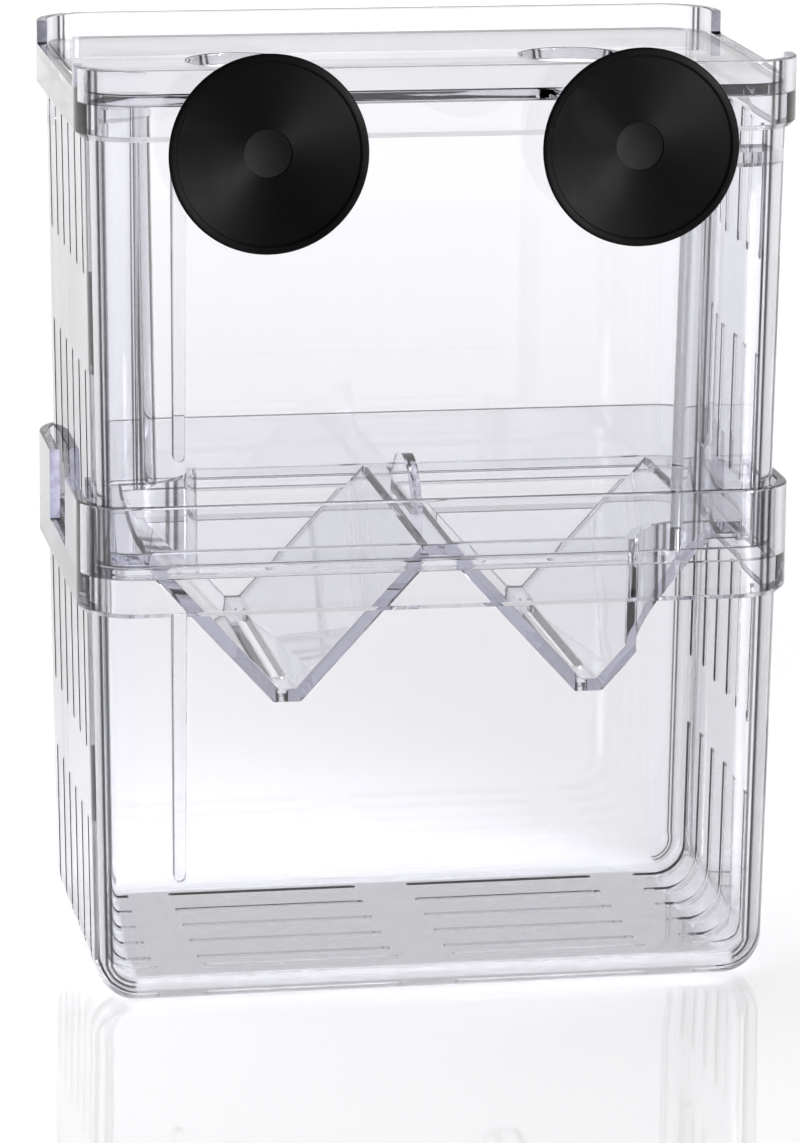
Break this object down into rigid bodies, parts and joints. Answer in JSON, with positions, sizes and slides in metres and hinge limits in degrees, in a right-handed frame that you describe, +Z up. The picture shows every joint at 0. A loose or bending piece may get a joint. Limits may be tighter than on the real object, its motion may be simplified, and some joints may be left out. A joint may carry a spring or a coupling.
{
  "type": "fish breeding box",
  "caption": "Clear stacked box for breeding fish: slotted lower box, tray with V troughs, bottomless upper box, lid with round holes, suction cups on the front.",
  "frame": {"origin": "middle of the lower box's underside, on the plane that the box stands on", "axes": "+Z up, -Y towards the front, where the suction cups are, +X to the right as seen from the front"},
  "size_m": [0.13, 0.0889, 0.1755],
  "materials": {
    "clear_shell": "polished clear",
    "clear_tray": "polished clear",
    "clear_lid": "polished clear",
    "rubber": "satin black"
  },
  "bodies": {
    "lower_box": {"lower_box": "clear_shell"},
    "v_tray": {"v_tray": "clear_tray"},
    "upper_box": {"upper_box": "clear_shell"},
    "lid": {"lid": "clear_lid"},
    "suction_cup_left": {"suction_cup_left": "rubber"},
    "suction_cup_right": {"suction_cup_right": "rubber"}
  },
  "joints": [
    {"name": "tray_lift", "type": "slide", "parent": "lower_box", "child": "v_tray", "axis": [0, 0, 1], "range_m": [0, 0.05]},
    {"name": "upper_box_lift", "type": "slide", "parent": "v_tray", "child": "upper_box", "axis": [0, 0, 1], "range_m": [0, 0.04]},
    {"name": "lid_lift", "type": "slide", "parent": "upper_box", "child": "lid", "axis": [0, 0, 1], "range_m": [0, 0.03]},
    {"name": "cup_turn_left", "type": "hinge", "parent": "upper_box", "child": "suction_cup_left", "pos_m": [-0.033, -0.0405, 0.1579], "axis": [0, 1, 0], "continuous": true},
    {"name": "cup_turn_right", "type": "hinge", "parent": "upper_box", "child": "suction_cup_right", "pos_m": [0.033, -0.0405, 0.1579], "axis": [0, 1, 0], "continuous": true}
  ]
}
